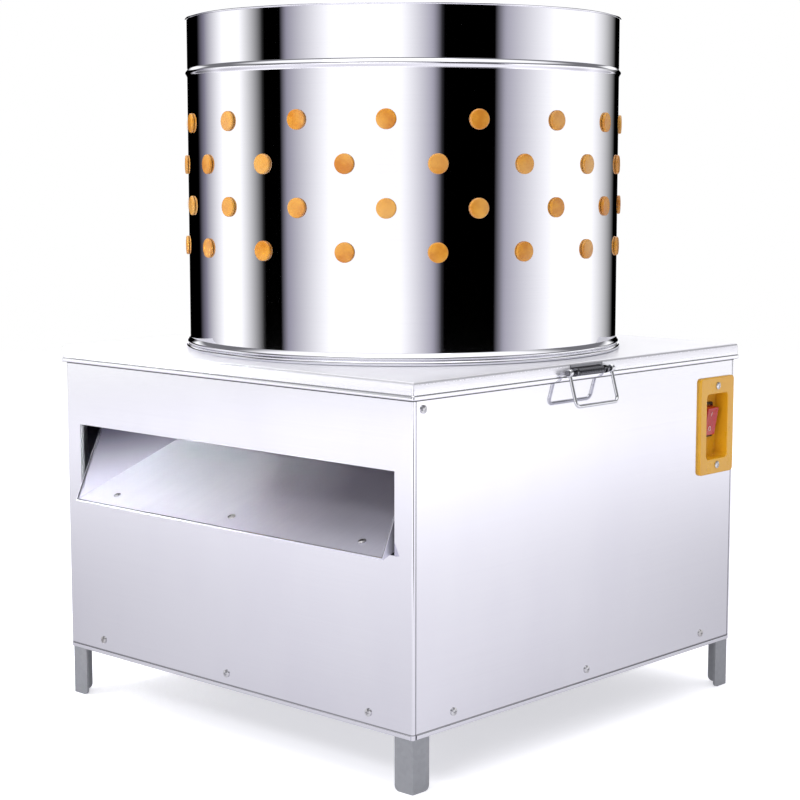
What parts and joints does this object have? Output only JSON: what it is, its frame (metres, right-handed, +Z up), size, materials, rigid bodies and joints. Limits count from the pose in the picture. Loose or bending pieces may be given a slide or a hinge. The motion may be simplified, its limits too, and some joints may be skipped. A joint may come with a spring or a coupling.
{
  "type": "poultry plucker",
  "caption": "Drum plucker for poultry: finger-lined drum on a lift-off lid over a square base with a spinning finger plate, belt drive, feather chute and recessed switch.",
  "frame": {"origin": "on the floor under the drum's axis, in the middle of the footprint", "axes": "+X to the right seen from the front, -Y towards the front with the chute, +Z up"},
  "size_m": [0.6032, 0.596, 0.8005],
  "materials": {
    "polished_steel": "polished stainless sheet",
    "zinc_steel": "zinc plated, satin",
    "machined_steel": "machined and polished",
    "cast_iron": "painted casting, satin",
    "motor_paint": "satin enamel",
    "finger_rubber": "satin natural rubber",
    "bright_wire": "bright plated",
    "black_plastic": "matt moulding",
    "yellow_plastic": "glossy moulding",
    "red_plastic": "glossy moulding",
    "belt_rubber": "matt",
    "seal_rubber": "matt"
  },
  "bodies": {
    "frame": {"corner_post_front_left": "zinc_steel", "corner_post_front_right": "zinc_steel", "corner_post_rear_left": "zinc_steel", "corner_post_rear_right": "zinc_steel", "bottom_rail_front": "zinc_steel", "bottom_rail_right": "zinc_steel", "bottom_rail_rear": "zinc_steel", "bottom_rail_left": "zinc_steel", "top_rail_front": "zinc_steel", "top_rail_right": "zinc_steel", "top_rail_rear": "zinc_steel", "top_rail_left": "zinc_steel", "front_panel": "polished_steel", "right_panel": "polished_steel", "rear_panel": "polished_steel", "left_panel": "polished_steel", "chute_floor": "polished_steel", "chute_left_wall": "polished_steel", "chute_right_wall": "polished_steel", "chute_collar": "polished_steel", "bearing_beams": "zinc_steel", "motor_bearer": "zinc_steel", "motor_plate": "zinc_steel", "bearing_housing": "cast_iron", "bearing_outer_rings": "machined_steel", "bearing_balls": "machined_steel", "shaft_seal": "seal_rubber", "housing_bolts": "zinc_steel", "drive_belt": "belt_rubber", "motor_stator": "motor_paint", "motor_lower_bell": "motor_paint", "motor_upper_bell": "motor_paint", "fan_cowl": "motor_paint", "terminal_box": "black_plastic", "motor_bolts": "zinc_steel", "switch_plate": "yellow_plastic", "switch_bezel": "black_plastic", "switch_screws": "machined_steel", "panel_screws": "machined_steel", "chute_screws": "machined_steel", "cable_gland": "black_plastic"},
    "lid_and_drum": {"lid": "polished_steel", "drum_shell": "polished_steel", "drum_base_ring": "polished_steel", "drum_fingers": "finger_rubber", "handle_brackets": "bright_wire", "handle_springs": "bright_wire"},
    "bail_right": {"handle_bail_right": "bright_wire"},
    "bail_left": {"handle_bail_left": "bright_wire"},
    "plate_rotor": {"main_shaft": "machined_steel", "driven_pulley": "cast_iron", "plate_hub": "cast_iron", "plucking_plate": "polished_steel", "plate_fingers": "finger_rubber", "plate_nut": "machined_steel", "bearing_inner_rings": "machined_steel"},
    "motor_rotor": {"motor_pulley": "cast_iron", "motor_shaft": "machined_steel", "motor_fan": "black_plastic"},
    "rocker_switch": {"rocker": "red_plastic"}
  },
  "joints": [
    {"name": "lid_lift", "type": "slide", "parent": "frame", "child": "lid_and_drum", "axis": [0, 0, 1], "range_m": [0, 0.25]},
    {"name": "bail_right_swing", "type": "hinge", "parent": "lid_and_drum", "child": "bail_right", "pos_m": [0.2894, -0.012, 0.411], "axis": [0, -1, 0], "range_deg": [0, 95], "stiffness_Nm_per_rad": 0.03, "springref_deg": -17.19},
    {"name": "bail_left_swing", "type": "hinge", "parent": "lid_and_drum", "child": "bail_left", "pos_m": [-0.2894, -0.012, 0.411], "axis": [0, 1, 0], "range_deg": [0, 95], "stiffness_Nm_per_rad": 0.03, "springref_deg": -17.19},
    {"name": "plate_spin", "type": "hinge", "parent": "frame", "child": "plate_rotor", "pos_m": [0, 0, 0.4335], "axis": [0, 0, 1], "continuous": true},
    {"name": "motor_spin", "type": "hinge", "parent": "frame", "child": "motor_rotor", "pos_m": [0, 0.17, 0.072], "axis": [0, 0, 1], "continuous": true},
    {"name": "rocker_tilt", "type": "hinge", "parent": "frame", "child": "rocker_switch", "pos_m": [0.267, 0.246, 0.33], "axis": [0, -1, 0], "range_deg": [0, 20]}
  ],
  "couplings": [
    {"joint": "motor_spin", "follows": "plate_spin", "ratio": 4.2308}
  ]
}
